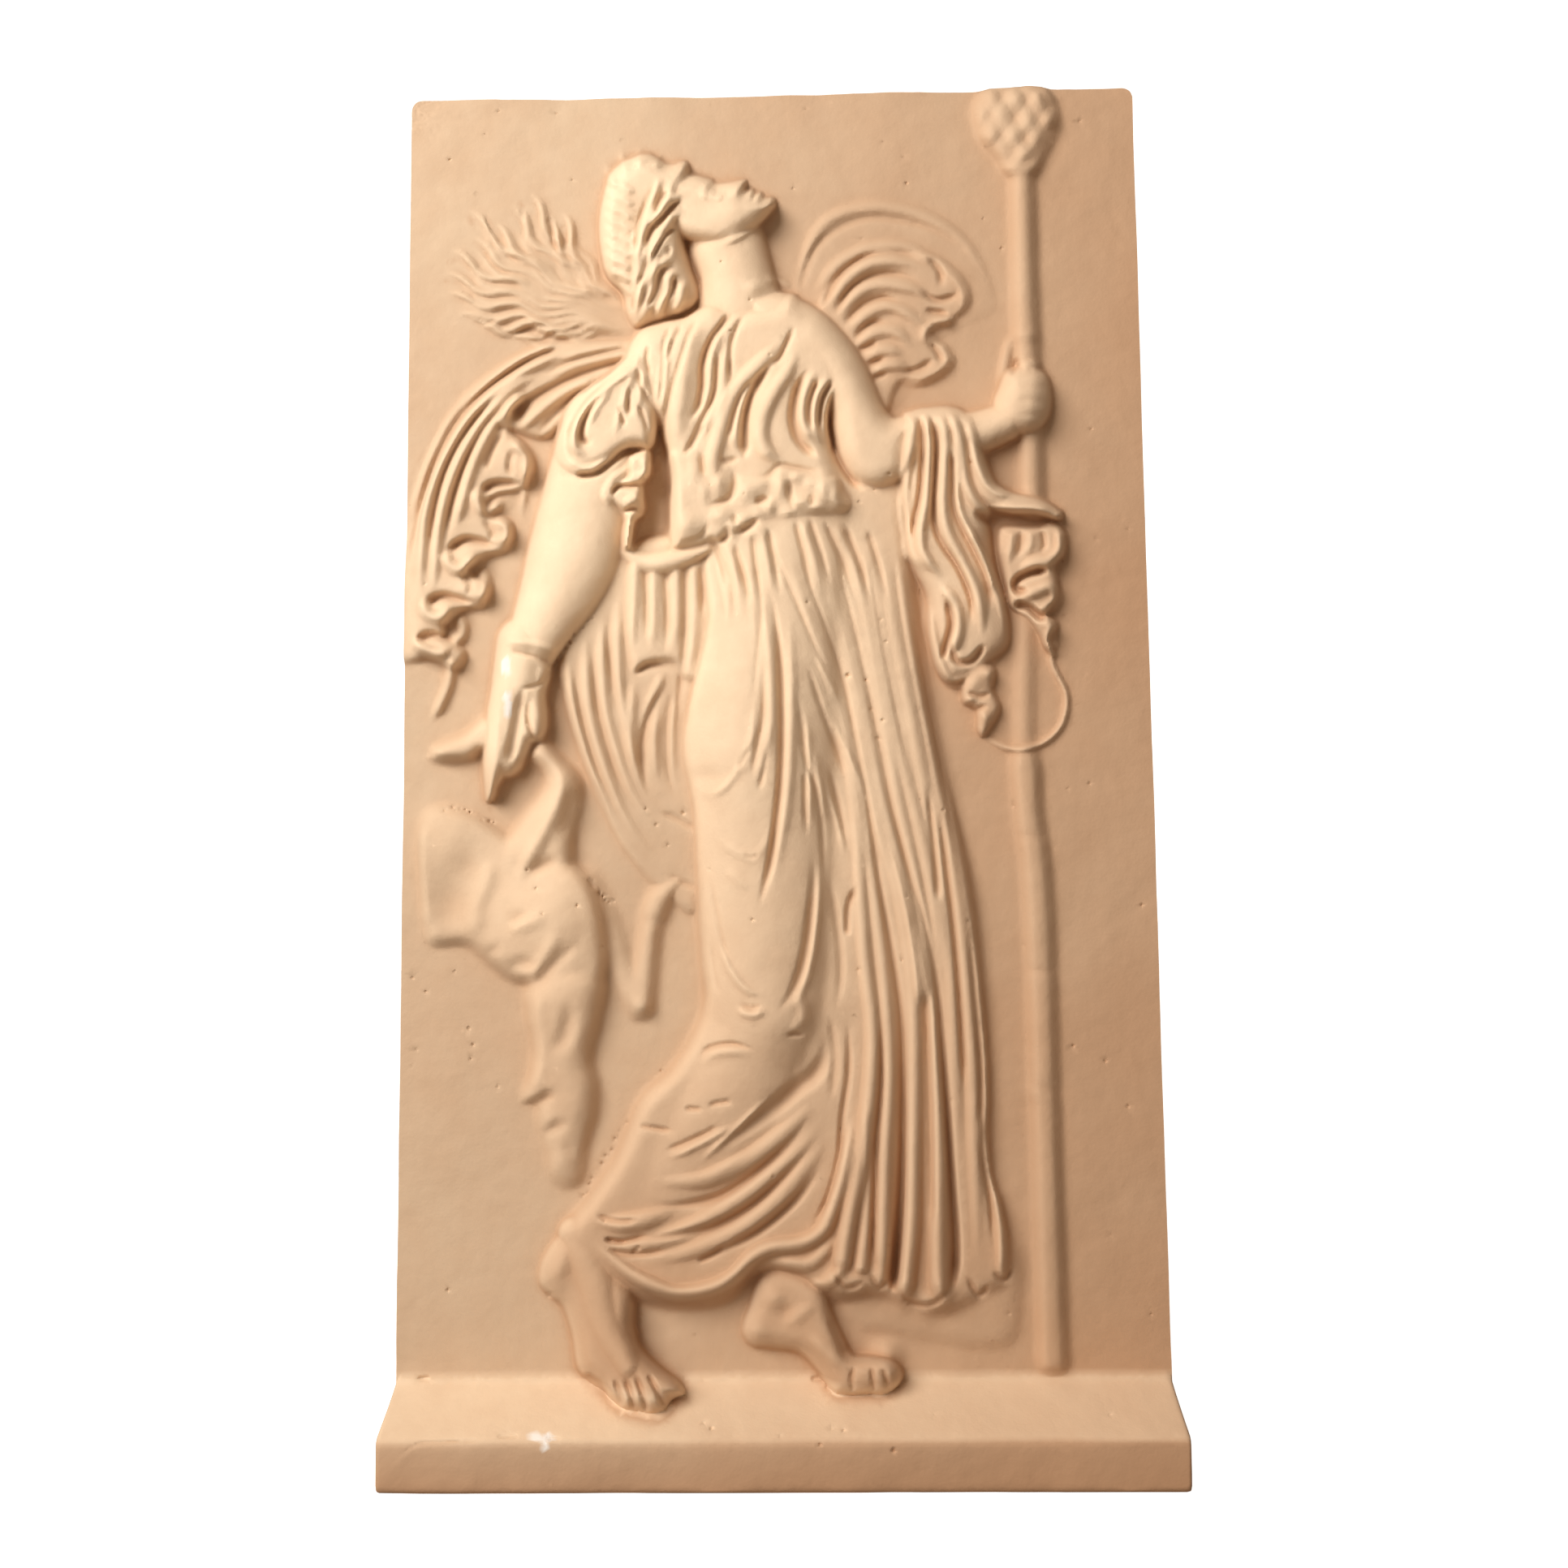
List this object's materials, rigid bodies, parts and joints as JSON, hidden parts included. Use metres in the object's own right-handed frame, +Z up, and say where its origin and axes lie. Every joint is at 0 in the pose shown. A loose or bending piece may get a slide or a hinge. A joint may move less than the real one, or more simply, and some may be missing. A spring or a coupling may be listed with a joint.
{
  "type": "plaster relief cast",
  "caption": "Plaster relief cast of a robed dancer with a staff and a half kid, on an upright slab with a ledge at its foot that it stands on.",
  "frame": {"origin": "centre of the cast's box in plan, at its underside", "axes": "+Z up the slab, the carved front faces -Y, +X to the right as the front is seen"},
  "size_m": [0.33, 0.06, 0.606],
  "materials": {
    "plaster": "matt cast plaster, warm cream, dry and unpainted"
  },
  "bodies": {
    "root": {"relief_cast": "plaster"}
  },
  "joints": []
}
